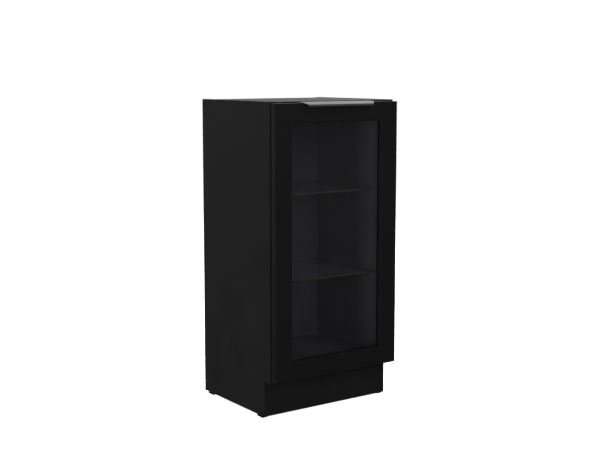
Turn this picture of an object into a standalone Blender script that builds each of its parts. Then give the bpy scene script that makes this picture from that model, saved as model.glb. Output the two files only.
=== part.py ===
"""Free-standing base cabinet with one framed glass door, two glass shelves and a recessed plinth.

Metres, +Z up.  X runs from the hinge side (left) to the closing side (right), Y from front to back.
The origin is on the floor, under the centre of the cabinet's bounding box.
Each object is one physical piece.  Pieces that touch keep the clearance FIT between their solids.
"""
import math

import bmesh
import bpy
from mathutils import Matrix, Vector

# ---------------------------------------------------------------- driving dimensions, in metres
FIT = 0.0003                 # clearance between pieces that touch
MERGE = 0.00001              # points closer than this are one point
BEYOND = 0.001               # a cutter reaches this far past the face that it cuts

WIDTH = 0.400                # carcass, outside
DEPTH = 0.333                # carcass, front edge to back edge
SIDE_HEIGHT = 0.8186         # side panel, without the glide under it
PANEL = 0.016                # carcass board thickness
PANEL_EDGE = 0.0005          # rounding of the edge banding
TOP_RECESS = 0.0008          # top panel lies this much under the side panels' top edges

TOE_HEIGHT = 0.0945          # side panel's notch for the plinth
PLINTH_THICKNESS = 0.018
PLINTH_SETBACK = 0.028       # plinth face behind the carcass front edge
PLINTH_BLOCK = 0.020         # square corner block behind the plinth
PLINTH_BLOCK_HEIGHT = 0.060

GLIDE_HEIGHT = 0.005
GLIDE_LENGTH = 0.026
GLIDE_FRONT = 0.037          # front glide's front end, behind the carcass front edge
GLIDE_REAR = 0.018           # rear glide's back end, ahead of the carcass back edge
GLIDE_STEM_RADIUS = 0.0015
GLIDE_STEM_LENGTH = 0.012
GLIDE_STEM_FROM_END = 0.006  # front glide's stem from its rear end, clear of the plinth
GLIDE_EDGE = 0.0008

BACK_THICKNESS = 0.003
BACK_INSET = 0.0093          # behind the back panel, to the side panels' back edges
BACK_GROOVE = 0.006          # depth of the groove that holds the back panel

SHELF_THICKNESS = 0.004
SHELF_EDGE = 0.0004
SHELF_SETBACK = 0.0575       # shelf front edge behind the carcass front edge
SHELF_END_GAP = 0.001        # between a shelf's end and the side panel
SHELF_REAR_GAP = 0.001
PIN_SHANK_RADIUS = 0.0025
PIN_HEAD_RADIUS = 0.0030
PIN_SHANK = 0.008
PIN_HEAD = 0.009
PIN_COLLAR_EDGE = 0.001
PIN_FRONT = 0.077            # front pins behind the carcass front edge
PIN_REAR = 0.037             # rear pins ahead of the carcass back edge

CAM_RADIUS = 0.0075
CAM_DEPTH = 0.0125
CAM_FROM_END = 0.024
CAM_FROM_EDGES = 0.050
CAM_EDGE = 0.0005
CAM_SLOT_HALF_LENGTH = 0.0045
CAM_SLOT_HALF_WIDTH = 0.0006
CAM_SLOT_DEPTH = 0.0016

DOOR_GAP = 0.0037            # between the carcass front edge and the door's back
DOOR_SIDE_REVEAL = 0.002     # the door is this much narrower than the carcass, each side
DOOR_THICKNESS = 0.018
DOOR_BELOW_FLOOR_PANEL = 0.0121  # door bottom under the bottom panel's top surface
DOOR_TOP_REVEAL = 0.0042     # door top under the side panels' top edges
RAIL = 0.0505
FLANGE_TO_WINDOW = 0.0133    # hinge cup's flange to the window's edge
DOOR_EDGE = 0.0016           # rounding of the lacquered edges

GLASS_THICKNESS = 0.004
PANE_EDGE = 0.0003
GLASS_LAP = 0.008            # glass behind the frame, each side
BEAD_THICKNESS = 0.0014
BEAD_INSET = 0.0012          # bead edge behind the window edge
BEAD_TO_FLANGE = 0.0006

HANDLE_LENGTH = 0.232
HANDLE_REACH = 0.016         # in front of the door face
HANDLE_SHEET = 0.0016
HANDLE_DROP = 0.0059         # fall of the sloping top
HANDLE_LIP = 0.0052
HANDLE_FLANGE = 0.024        # down the door's back
HANDLE_END_INSET = 0.0125    # each end runs in by this much at the lip
HANDLE_SCREW_FROM_CENTRE = 0.080
HANDLE_SCREW_DOWN = 0.015

HINGE_FROM_END = 0.100       # hinge centre from the door's top or bottom
PIVOT_FROM_EDGE = 0.008      # hinge pin from the door's hinge-side edge
PIVOT_FROM_BACK = 0.0093     # hinge pin from the door's back
PIVOT_RADIUS = 0.00125
PIVOT_PLAY = 0.00009         # running clearance of the arm's eye
PIVOT_HALF = 0.0099          # half the pin's length
EYE_RADIUS = 0.0025
CUP_RADIUS = 0.0172
CUP_WALL = 0.001
CUP_DEPTH = 0.014            # cup body inside the door
CUP_FROM_PIVOT = 0.0125
CUP_RIM = 0.0185             # flange radius
CUP_EAR_HALF = 0.028
CUP_FLANGE = 0.001
CUP_SCREW_HALF = 0.0225
CUP_SCREW_ASIDE = 0.0095
CUP_EAR_START = 0.002        # the ears reach this far past the cup's middle, towards the hinge side
ARM_HALF_WIDTH = 0.0045
ARM_SHEET = 0.003            # bar from the eye to the riser, and the riser
ARM_BAR_TOP = 0.0008         # bar's rear face in front of the pin's middle
ARM_RISER = 0.025            # riser's outer face from the pin
ARM_BODY = 0.008             # thickness of the arm inside the carcass
ARM_LENGTH = 0.062           # behind the carcass front edge
ARM_SCREW = 0.050            # behind the carcass front edge
ARM_CRANK_INNER = (0.001, 0.008)   # crank's start and end behind the carcass front edge, side panel's side
ARM_CRANK_OUTER = (0.005, 0.013)   # the same on the far side
PLATE_THICKNESS = 0.0024
PLATE_HALF = 0.006           # half the plate's width at its wings
PLATE_TIP_HALF = 0.005       # and at its two ends
PLATE_FRONT = 0.010          # plate's front end behind the carcass front edge
PLATE_SHORTER = 0.002        # plate's rear end ahead of the arm's
PLATE_SCREW_LINE = 0.037     # behind the carcass front edge
PLATE_SCREW_HALF = 0.016

BUMPER_RADIUS = 0.005
BUMPER_FROM_EDGE = 0.009
BUMPER_FROM_END = 0.030

# ---------------------------------------------------------------- places worked out from the sizes
CARCASS_FRONT = (DOOR_GAP + DOOR_THICKNESS + HANDLE_REACH - DEPTH) / 2
CARCASS_BACK = CARCASS_FRONT + DEPTH
SIDE_BOTTOM = GLIDE_HEIGHT
SIDE_TOP = SIDE_BOTTOM + SIDE_HEIGHT
HALF = WIDTH / 2
INNER = HALF - PANEL
FLOOR_UNDER = SIDE_BOTTOM + TOE_HEIGHT
FLOOR_TOP = FLOOR_UNDER + PANEL
ROOF_TOP = SIDE_TOP - TOP_RECESS
ROOF_UNDER = ROOF_TOP - PANEL
CLEAR_HEIGHT = (ROOF_UNDER - FLOOR_TOP - 2 * SHELF_THICKNESS) / 3
BACK_FACE = CARCASS_BACK - BACK_INSET - BACK_THICKNESS
PLINTH_FRONT = CARCASS_FRONT + PLINTH_SETBACK
PLINTH_BACK = PLINTH_FRONT + PLINTH_THICKNESS

DOOR_BACK = CARCASS_FRONT - DOOR_GAP
DOOR_FRONT = DOOR_BACK - DOOR_THICKNESS
DOOR_HALF = HALF - DOOR_SIDE_REVEAL
DOOR_BOTTOM = FLOOR_TOP - DOOR_BELOW_FLOOR_PANEL
DOOR_TOP = SIDE_TOP - DOOR_TOP_REVEAL
STILE = PIVOT_FROM_EDGE + CUP_FROM_PIVOT + CUP_RIM + FLANGE_TO_WINDOW
WINDOW_HALF = DOOR_HALF - STILE
WINDOW_BOTTOM = DOOR_BOTTOM + RAIL
WINDOW_TOP = DOOR_TOP - RAIL
GLASS_BACK = DOOR_BACK - FIT
GLASS_FRONT = GLASS_BACK - GLASS_THICKNESS
BEAD_WIDTH = FLANGE_TO_WINDOW - BEAD_INSET - BEAD_TO_FLANGE

PIVOT_X = -DOOR_HALF + PIVOT_FROM_EDGE
PIVOT_Y = DOOR_BACK - PIVOT_FROM_BACK
CUP_X = PIVOT_X + CUP_FROM_PIVOT
HINGES = {"lower": DOOR_BOTTOM + HINGE_FROM_END, "upper": DOOR_TOP - HINGE_FROM_END}
SHELVES = {"lower": FLOOR_TOP + CLEAR_HEIGHT, "upper": FLOOR_TOP + 2 * CLEAR_HEIGHT + SHELF_THICKNESS}
SIDES = {"left": -1, "right": 1}
SHELF_HALF = INNER - SHELF_END_GAP
PIN_Z_UNDER_SHELF = FIT + PIN_HEAD_RADIUS
PIN_COLUMNS = {"front": CARCASS_FRONT + PIN_FRONT, "rear": CARCASS_BACK - PIN_REAR}
PLATE_INNER = -INNER + FIT
PLATE_OUTER = PLATE_INNER + PLATE_THICKNESS
ARM_LEFT = PLATE_OUTER + FIT
ARM_RIGHT = ARM_LEFT + ARM_BODY
GLIDES = {
    "front": CARCASS_FRONT + GLIDE_FRONT,
    "rear": CARCASS_BACK - GLIDE_REAR - GLIDE_LENGTH,
}

BORE_SIDES = 16
ROUND_SIDES = 24

# Screws: head radius, head height, shank radius, length under the head, countersunk or not.
HANDLE_SCREW = (0.0030, 0.0014, 0.0014, 0.0110, True)
CUP_SCREW = (0.0035, 0.0012, 0.0016, 0.0110, False)
PLATE_SCREW = (0.0036, 0.0020, 0.0018, 0.0100, True)
ARM_SCREW_SIZES = (0.0035, 0.0016, 0.0020, ARM_BODY + PLATE_THICKNESS, False)


# ---------------------------------------------------------------- tools
def clear_scene():
    """Removes every object, and makes one collection for the cabinet and one for the cutters."""
    for obj in list(bpy.data.objects):
        bpy.data.objects.remove(obj, do_unlink=True)
    for name in ("china_cabinet", "cutters"):
        collection = bpy.data.collections.new(name)
        bpy.context.scene.collection.children.link(collection)


def linear(value):
    """An 8-bit display value as the linear value that a shader takes."""
    value = value / 255
    if value <= 0.04045:
        return value / 12.92
    return ((value + 0.055) / 1.055) ** 2.4


def material(name, colour, roughness, metallic=0.0, alpha=1.0):
    """One Principled BSDF, made once and shared by the pieces of the same finish."""
    if name in bpy.data.materials:
        return bpy.data.materials[name]
    made = bpy.data.materials.new(name)
    made.use_nodes = True
    shader = made.node_tree.nodes["Principled BSDF"]
    shader.inputs["Base Color"].default_value = (*[linear(value) for value in colour], 1)
    shader.inputs["Roughness"].default_value = roughness
    shader.inputs["Metallic"].default_value = metallic
    shader.inputs["Alpha"].default_value = alpha
    return made


def melamine():
    return material("black_melamine", (30, 30, 31), 0.55)


def lacquer():
    return material("black_lacquer", (23, 23, 24), 0.35)


def clear_glass():
    return material("clear_glass", (225, 235, 232), 0.03, alpha=0.25)


def aluminium():
    return material("brushed_aluminium", (165, 165, 167), 0.35, metallic=1.0)


def nickel():
    return material("nickel_plated_steel", (178, 176, 170), 0.3, metallic=1.0)


def black_plastic():
    return material("black_plastic", (14, 14, 15), 0.5)


def clear_rubber():
    return material("soft_bumper", (190, 190, 188), 0.4)


def add_object(name, mesh, finish, place=(0, 0, 0)):
    """A piece of the cabinet, with its own finish, at its place."""
    obj = bpy.data.objects.new(name, mesh)
    obj.location = place
    if finish:
        mesh.materials.clear()
        mesh.materials.append(finish)
    bpy.data.collections["china_cabinet"].objects.link(obj)
    return obj


def box_mesh(name, size):
    mesh = bpy.data.meshes.new(name)
    work = bmesh.new()
    bmesh.ops.create_cube(work, size=1)
    bmesh.ops.scale(work, vec=Vector(size), verts=work.verts)
    work.to_mesh(mesh)
    work.free()
    return mesh


def round_edges(obj, width, segments=2):
    """Rounded edges, kept as a live modifier."""
    bevel = obj.modifiers.new("rounded_edges", "BEVEL")
    bevel.width = width
    bevel.segments = segments
    bevel.limit_method = "ANGLE"
    return bevel


def board(name, low, high, finish, edge=PANEL_EDGE):
    """A flat board between two corners, its edges rounded."""
    low, high = Vector(low), Vector(high)
    obj = add_object(name, box_mesh(name, high - low), finish, (low + high) / 2)
    if edge:
        round_edges(obj, edge)
    return obj


def outline_mesh(name, splines, thickness):
    """A flat outline, and any holes in it, filled in its XY plane and given a thickness about it."""
    curve = bpy.data.curves.new(name, "CURVE")
    curve.dimensions = "2D"
    curve.fill_mode = "BOTH"
    curve.extrude = thickness / 2
    for points in splines:
        spline = curve.splines.new("POLY")
        spline.points.add(len(points) - 1)
        for point, (x, y) in zip(spline.points, points):
            point.co = (x, y, 0, 1)
        spline.use_cyclic_u = True
    source = bpy.data.objects.new(name + "_outline", curve)
    bpy.context.scene.collection.objects.link(source)
    bpy.context.view_layer.update()
    evaluated = source.evaluated_get(bpy.context.evaluated_depsgraph_get())
    mesh = bpy.data.meshes.new_from_object(evaluated)
    bpy.data.objects.remove(source, do_unlink=True)
    work = bmesh.new()
    work.from_mesh(mesh)
    bmesh.ops.remove_doubles(work, verts=work.verts, dist=MERGE)
    bmesh.ops.dissolve_limit(work, angle_limit=math.radians(0.5), verts=work.verts, edges=work.edges)
    bmesh.ops.recalc_face_normals(work, faces=work.faces)
    work.to_mesh(mesh)
    work.free()
    return mesh


def arc(centre, radius, start, end, steps):
    """Points along an arc, by angle in degrees."""
    points = []
    for step in range(steps + 1):
        angle = math.radians(start + (end - start) * step / steps)
        points.append((centre[0] + radius * math.cos(angle), centre[1] + radius * math.sin(angle)))
    return points


def turned(name, profile, direction, place, finish, sides=BORE_SIDES):
    """A solid turned about an axis: the profile lists (radius, height) from the top down."""
    mesh = bpy.data.meshes.new(name)
    points = [(radius, 0, height) for radius, height in profile]
    edges = [(index, index + 1) for index in range(len(points) - 1)]
    mesh.from_pydata(points, edges, [])
    obj = add_object(name, mesh, finish, place)
    obj.rotation_euler = Vector(direction).to_track_quat("Z", "Y").to_euler()
    screw = obj.modifiers.new("turned", "SCREW")
    screw.axis = "Z"
    screw.steps = sides
    screw.render_steps = sides
    screw.use_merge_vertices = True
    screw.merge_threshold = MERGE
    screw.use_smooth_shade = False
    return obj


def screw_piece(name, sizes, seat, direction):
    """A screw whose head seats at a point, with its head towards the direction given."""
    head_radius, head_height, shank_radius, length, countersunk = sizes
    if countersunk:
        head = [(0, 0), (head_radius, 0), (shank_radius, -head_height)]
    else:
        head = [(0, head_height), (head_radius * 0.8, head_height), (head_radius, head_height * 0.6)]
        head += [(head_radius, 0), (shank_radius, 0)]
    tip = -length
    point = [(shank_radius, tip + shank_radius), (0, tip)]
    return turned(name, head + point, direction, seat, nickel())


class Cutter:
    """Bores and slots that one Boolean takes out of a piece."""

    def __init__(self, name):
        self.name = name
        self.work = bmesh.new()

    def bore(self, start, end, radius, sides=BORE_SIDES, end_radius=None):
        start, end = Vector(start), Vector(end)
        turn = (end - start).to_track_quat("Z", "Y").to_matrix().to_4x4()
        bmesh.ops.create_cone(
            self.work,
            cap_ends=True,
            segments=sides,
            radius1=radius,
            radius2=radius if end_radius is None else end_radius,
            depth=(end - start).length,
            matrix=Matrix.Translation((start + end) / 2) @ turn,
        )

    def countersink(self, seat, outward, sizes):
        """A cone round a countersunk head, from just outside its seat to just inside the shank's bore."""
        head, head_height, shank, _, _ = sizes
        slope = (head - shank) / head_height
        outward = Vector(outward)
        start = Vector(seat) + outward * FIT
        end = Vector(seat) - outward * (head_height + FIT)
        wide = head + FIT + slope * FIT
        narrow = shank + FIT - slope * FIT
        self.bore(start, end, wide, BORE_SIDES, narrow)

    def slot(self, low, high, turn=None):
        low, high = Vector(low), Vector(high)
        scale = Matrix.Diagonal((*(high - low), 1))
        matrix = Matrix.Translation((low + high) / 2) @ (turn or Matrix()) @ scale
        bmesh.ops.create_cube(self.work, size=1, matrix=matrix)

    def cut(self, target):
        """Writes the cutter in the target's own coordinates and hangs the Boolean on the target."""
        mesh = bpy.data.meshes.new(self.name)
        bmesh.ops.recalc_face_normals(self.work, faces=self.work.faces)
        self.work.to_mesh(mesh)
        self.work.free()
        helper = bpy.data.objects.new(self.name, mesh)
        helper.hide_render = True
        helper.display_type = "WIRE"
        bpy.data.collections["cutters"].objects.link(helper)
        boolean = target.modifiers.new(self.name, "BOOLEAN")
        boolean.operation = "DIFFERENCE"
        boolean.solver = "EXACT"
        boolean.object = helper


# ---------------------------------------------------------------- carcass
def side_panels():
    """Two boards with a notch for the plinth, a groove for the back and bores for the fittings."""
    notch_depth = PLINTH_SETBACK + PLINTH_THICKNESS + FIT
    outline = [
        (notch_depth, 0),
        (DEPTH, 0),
        (DEPTH, SIDE_HEIGHT),
        (0, SIDE_HEIGHT),
        (0, TOE_HEIGHT),
        (notch_depth, TOE_HEIGHT),
    ]
    for side, sign in SIDES.items():
        name = f"side_panel_{side}"
        mesh = outline_mesh(name, [outline], PANEL)
        mesh.transform(Matrix(((0, 0, 1, 0), (1, 0, 0, 0), (0, 1, 0, 0), (0, 0, 0, 1))))
        panel = add_object(name, mesh, melamine(), (sign * (HALF - PANEL / 2), CARCASS_FRONT, SIDE_BOTTOM))
        round_edges(panel, PANEL_EDGE)
        bores = Cutter(f"{name}_bores")
        inner = sign * INNER
        outside = inner - sign * BEYOND
        groove = sorted((outside, inner + sign * BACK_GROOVE))
        groove_back = BACK_FACE + BACK_THICKNESS + FIT
        bores.slot(
            (groove[0], BACK_FACE - FIT, FLOOR_UNDER - FIT),
            (groove[1], groove_back, SIDE_TOP + BEYOND),
        )
        for shelf_under in SHELVES.values():
            for y in PIN_COLUMNS.values():
                z = shelf_under - PIN_Z_UNDER_SHELF
                start = (outside, y, z)
                end = (inner + sign * (PIN_SHANK + 2 * FIT), y, z)
                bores.bore(start, end, PIN_SHANK_RADIUS + FIT)
        for end in GLIDES:
            x, y = glide_stem_place(sign, end)
            start = (x, y, SIDE_BOTTOM - BEYOND)
            bores.bore(start, (x, y, SIDE_BOTTOM + GLIDE_STEM_LENGTH), GLIDE_STEM_RADIUS + FIT)
        if side == "left":
            for height in HINGES.values():
                for up in (-PLATE_SCREW_HALF, PLATE_SCREW_HALF):
                    y = CARCASS_FRONT + PLATE_SCREW_LINE
                    start = (inner + BEYOND, y, height + up)
                    end = (inner - PLATE_SCREW[3], y, height + up)
                    bores.bore(start, end, PLATE_SCREW[2] + FIT)
        bores.cut(panel)


def glide_stem_place(sign, end):
    """X and Y of a glide's stem: in the side panel, clear of the plinth."""
    x = sign * (HALF - PANEL / 2)
    if end == "front":
        return x, GLIDES[end] + GLIDE_LENGTH - GLIDE_STEM_FROM_END
    return x, GLIDES[end] + GLIDE_LENGTH / 2


def cam_places():
    """X and Y of the cam locks: near each end of a board, front and rear."""
    for side, sign in SIDES.items():
        x = sign * (INNER - CAM_FROM_END)
        yield side, "front", x, CARCASS_FRONT + CAM_FROM_EDGES
        yield side, "rear", x, BACK_FACE - CAM_FROM_EDGES


def level_panels():
    """Bottom and top boards between the sides, each with four cam locks in its underside."""
    for name, under in (("bottom", FLOOR_UNDER), ("top", ROOF_UNDER)):
        low = (-INNER + FIT, CARCASS_FRONT, under)
        high = (INNER - FIT, BACK_FACE - FIT, under + PANEL)
        panel = board(f"{name}_panel", low, high, melamine())
        bores = Cutter(f"{name}_panel_bores")
        for side, end, x, y in cam_places():
            bores.bore((x, y, under - BEYOND), (x, y, under + CAM_DEPTH), CAM_RADIUS + FIT, ROUND_SIDES)
            cam_lock(f"cam_lock_{name}_{end}_{side}", (x, y, under))
        bores.cut(panel)


def cam_lock(name, place):
    """A cam nut, flush with the board, with a cross slot for the driver."""
    height = CAM_DEPTH - FIT
    profile = [
        (0, 0),
        (CAM_RADIUS - CAM_EDGE, 0),
        (CAM_RADIUS, -CAM_EDGE),
        (CAM_RADIUS, -height),
        (0, -height),
    ]
    cam = turned(name, profile, (0, 0, -1), place, nickel(), ROUND_SIDES)
    sizes = (CAM_SLOT_HALF_WIDTH, CAM_SLOT_HALF_LENGTH)
    for way, (half_x, half_y) in {"across": sizes[::-1], "along": sizes}.items():
        slot = Cutter(f"{name}_slot_{way}")
        low = (place[0] - half_x, place[1] - half_y, place[2] - BEYOND)
        slot.slot(low, (place[0] + half_x, place[1] + half_y, place[2] + CAM_SLOT_DEPTH))
        slot.cut(cam)


def back_panel():
    """A thin sheet held in the side panels' grooves."""
    half = INNER + BACK_GROOVE - FIT
    low = (-half, BACK_FACE, FLOOR_UNDER)
    board("back_panel", low, (half, BACK_FACE + BACK_THICKNESS, ROOF_TOP), melamine(), edge=0)


def plinth():
    """A board across both side panels' notches, and two blocks that fix it."""
    top = FLOOR_UNDER - FIT
    board("plinth_board", (-HALF, PLINTH_FRONT, SIDE_BOTTOM), (HALF, PLINTH_BACK, top), melamine())
    middle = (SIDE_BOTTOM + FLOOR_UNDER) / 2
    for side, sign in SIDES.items():
        outer = sign * (INNER - FIT)
        inner = outer - sign * PLINTH_BLOCK
        low = (min(outer, inner), PLINTH_BACK + FIT, middle - PLINTH_BLOCK_HEIGHT / 2)
        high = (max(outer, inner), PLINTH_BACK + FIT + PLINTH_BLOCK, middle + PLINTH_BLOCK_HEIGHT / 2)
        board(f"plinth_block_{side}", low, high, black_plastic())


def glides():
    """A plastic pad under each corner, with a stem that presses up into the side panel."""
    for side, sign in SIDES.items():
        for end, start in GLIDES.items():
            name = f"foot_glide_{end}_{side}"
            centre = Vector((sign * (HALF - PANEL / 2), start + GLIDE_LENGTH / 2, (SIDE_BOTTOM - FIT) / 2))
            mesh = box_mesh(name, (PANEL, GLIDE_LENGTH, SIDE_BOTTOM - FIT))
            pad = add_object(name, mesh, black_plastic(), centre)
            round_edges(pad, GLIDE_EDGE, 1)
            x, y = glide_stem_place(sign, end)
            work = Cutter(f"{name}_stem")
            top = SIDE_BOTTOM + GLIDE_STEM_LENGTH - FIT
            work.bore((x, y, SIDE_BOTTOM / 2), (x, y, top), GLIDE_STEM_RADIUS, 12)
            work.cut(pad)
            pad.modifiers[f"{name}_stem"].operation = "UNION"


# ---------------------------------------------------------------- shelves
def shelves():
    """Loose glass shelves, each lying on four pins."""
    for level, under in SHELVES.items():
        low = (-SHELF_HALF, CARCASS_FRONT + SHELF_SETBACK, under)
        high = (SHELF_HALF, BACK_FACE - SHELF_REAR_GAP, under + SHELF_THICKNESS)
        board(f"glass_shelf_{level}", low, high, clear_glass(), SHELF_EDGE)
        for side, sign in SIDES.items():
            for end, y in PIN_COLUMNS.items():
                place = (sign * INNER, y, under - PIN_Z_UNDER_SHELF)
                profile = [
                    (0, PIN_HEAD),
                    (PIN_HEAD_RADIUS - PIN_COLLAR_EDGE, PIN_HEAD),
                    (PIN_HEAD_RADIUS, PIN_HEAD - PIN_COLLAR_EDGE),
                    (PIN_HEAD_RADIUS, FIT),
                    (PIN_SHANK_RADIUS, FIT),
                    (PIN_SHANK_RADIUS, -PIN_SHANK),
                    (0, -PIN_SHANK),
                ]
                turned(f"shelf_pin_{level}_{end}_{side}", profile, (-sign, 0, 0), place, nickel(), 12)


# ---------------------------------------------------------------- door
def door_frame():
    """One routed board: window, rabbet for the glass behind it, cup bores and screw bores."""
    low = (-DOOR_HALF, DOOR_FRONT, DOOR_BOTTOM)
    frame = board("door_frame", low, (DOOR_HALF, DOOR_BACK, DOOR_TOP), lacquer(), edge=0)
    window = Cutter("door_window")
    window.slot(
        (-WINDOW_HALF, DOOR_FRONT - BEYOND, WINDOW_BOTTOM),
        (WINDOW_HALF, DOOR_BACK + BEYOND, WINDOW_TOP),
    )
    window.cut(frame)
    round_edges(frame, DOOR_EDGE)
    rabbet = Cutter("door_rabbet")
    lap = GLASS_LAP + FIT
    rabbet.slot(
        (-WINDOW_HALF - lap, GLASS_FRONT - FIT, WINDOW_BOTTOM - lap),
        (WINDOW_HALF + lap, DOOR_BACK + BEYOND, WINDOW_TOP + lap),
    )
    rabbet.cut(frame)
    bores = Cutter("door_bores")
    for height in HINGES.values():
        mouth = (CUP_X, DOOR_BACK + BEYOND, height)
        bottom = (CUP_X, DOOR_BACK - CUP_DEPTH, height)
        bores.bore(mouth, bottom, CUP_RADIUS + FIT, ROUND_SIDES)
        for up in (-CUP_SCREW_HALF, CUP_SCREW_HALF):
            x = CUP_X + CUP_SCREW_ASIDE
            start = (x, DOOR_BACK + BEYOND, height + up)
            bores.bore(start, (x, DOOR_BACK - CUP_SCREW[3], height + up), CUP_SCREW[2] + FIT)
    for sign in SIDES.values():
        x = sign * HANDLE_SCREW_FROM_CENTRE
        z = DOOR_TOP - HANDLE_SCREW_DOWN
        start = (x, DOOR_BACK + BEYOND, z)
        bores.bore(start, (x, DOOR_BACK - HANDLE_SCREW[3], z), HANDLE_SCREW[2] + FIT)
    bores.cut(frame)


def door_glass():
    """Pane in the frame's rear rabbet, held by four flat beads on the frame's back."""
    half = WINDOW_HALF + GLASS_LAP
    low = (-half, GLASS_FRONT, WINDOW_BOTTOM - GLASS_LAP)
    board("door_glass", low, (half, GLASS_BACK, WINDOW_TOP + GLASS_LAP), clear_glass(), PANE_EDGE)
    front = DOOR_BACK + FIT
    back = front + BEAD_THICKNESS
    inner_x = WINDOW_HALF + BEAD_INSET
    outer_x = inner_x + BEAD_WIDTH
    low_z = WINDOW_BOTTOM - BEAD_INSET
    high_z = WINDOW_TOP + BEAD_INSET
    for side, sign in SIDES.items():
        low_x, high_x = sorted((sign * inner_x, sign * outer_x))
        low = (low_x, front, low_z - BEAD_WIDTH)
        board(f"glazing_bead_{side}", low, (high_x, back, high_z + BEAD_WIDTH), black_plastic(), edge=0)
    for end, low_edge in (("bottom", low_z - BEAD_WIDTH), ("top", high_z)):
        low = (-inner_x + FIT, front, low_edge)
        high = (inner_x - FIT, back, low_edge + BEAD_WIDTH)
        board(f"glazing_bead_{end}", low, high, black_plastic(), edge=0)


def handle():
    """An edge pull bent from sheet: down the door's back, over its top, sloping out to a lip."""
    top = DOOR_TOP + FIT + HANDLE_SHEET
    back = DOOR_BACK + FIT + HANDLE_SHEET
    front = DOOR_FRONT - HANDLE_REACH
    bend = DOOR_FRONT - FIT
    slope = HANDLE_DROP / (bend - front)
    sloped_sheet = HANDLE_SHEET * math.sqrt(1 + slope * slope)
    inside_lip = front + HANDLE_SHEET
    bottom = top - HANDLE_DROP - HANDLE_LIP
    inner_top = top - HANDLE_SHEET
    inner_bend = bend - (HANDLE_SHEET - sloped_sheet) / slope
    flange_end = DOOR_TOP - HANDLE_FLANGE
    outline = [
        (back, flange_end),
        (back, top),
        (bend, top),
        (front, top - HANDLE_DROP),
        (front, bottom),
        (inside_lip, bottom),
        (inside_lip, top - slope * (bend - inside_lip) - sloped_sheet),
        (inner_bend, inner_top),
        (DOOR_BACK + FIT, inner_top),
        (DOOR_BACK + FIT, flange_end),
    ]
    mesh = outline_mesh("handle_pull", [outline], HANDLE_LENGTH)
    mesh.transform(Matrix(((0, 0, 1, 0), (1, 0, 0, 0), (0, 1, 0, 0), (0, 0, 0, 1))))
    pull = add_object("handle_pull", mesh, aluminium())
    ends = Cutter("handle_ends")
    angle = math.atan2(HANDLE_END_INSET, HANDLE_REACH)
    block = HANDLE_REACH + HANDLE_FLANGE + HANDLE_DROP + HANDLE_LIP
    for sign in SIDES.values():
        turn = Matrix.Rotation(-sign * angle, 4, "Z")
        corner = Vector((sign * HANDLE_LENGTH / 2, DOOR_FRONT, top))
        outward = turn @ Vector((sign * block / 2, -block / 2, 0))
        centre = corner + outward
        half = Vector((block / 2, block / 2, block / 2))
        ends.slot(centre - half, centre + half, turn)
    ends.cut(pull)
    holes = Cutter("handle_screw_holes")
    sinks = Cutter("handle_countersinks")
    for side, sign in SIDES.items():
        x = sign * HANDLE_SCREW_FROM_CENTRE
        z = DOOR_TOP - HANDLE_SCREW_DOWN
        holes.bore((x, back + BEYOND, z), (x, DOOR_BACK - BEYOND, z), HANDLE_SCREW[2] + FIT)
        sinks.countersink((x, back, z), (0, 1, 0), HANDLE_SCREW)
        screw_piece(f"handle_screw_{side}", HANDLE_SCREW, (x, back, z), (0, 1, 0))
    holes.cut(pull)
    sinks.cut(pull)


def bumpers():
    """Two soft buttons on the door's back, at the closing side."""
    thickness = DOOR_GAP - 2 * FIT
    x = DOOR_HALF - BUMPER_FROM_EDGE
    for end, z in (("lower", DOOR_BOTTOM + BUMPER_FROM_END), ("upper", DOOR_TOP - BUMPER_FROM_END)):
        profile = [
            (0, thickness),
            (BUMPER_RADIUS * 0.6, thickness),
            (BUMPER_RADIUS, thickness * 0.45),
            (BUMPER_RADIUS, 0),
            (0, 0),
        ]
        place = (x, DOOR_BACK + FIT, z)
        turned(f"door_bumper_{end}", profile, (0, 1, 0), place, clear_rubber())


# ---------------------------------------------------------------- hinges
def hinge(level, height):
    """A concealed hinge: cup in the door, pin across the cup, cranked arm on a plate on the side."""
    pivot = Vector((PIVOT_X, PIVOT_Y, height))
    hinge_cup(level, height)
    pin = [
        (0, PIVOT_HALF),
        (PIVOT_RADIUS, PIVOT_HALF),
        (PIVOT_RADIUS, -PIVOT_HALF),
        (0, -PIVOT_HALF),
    ]
    turned(f"hinge_pin_{level}", pin, (0, 0, 1), pivot, nickel(), ROUND_SIDES)
    hinge_arm(level, pivot)
    hinge_plate(level, height)


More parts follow.
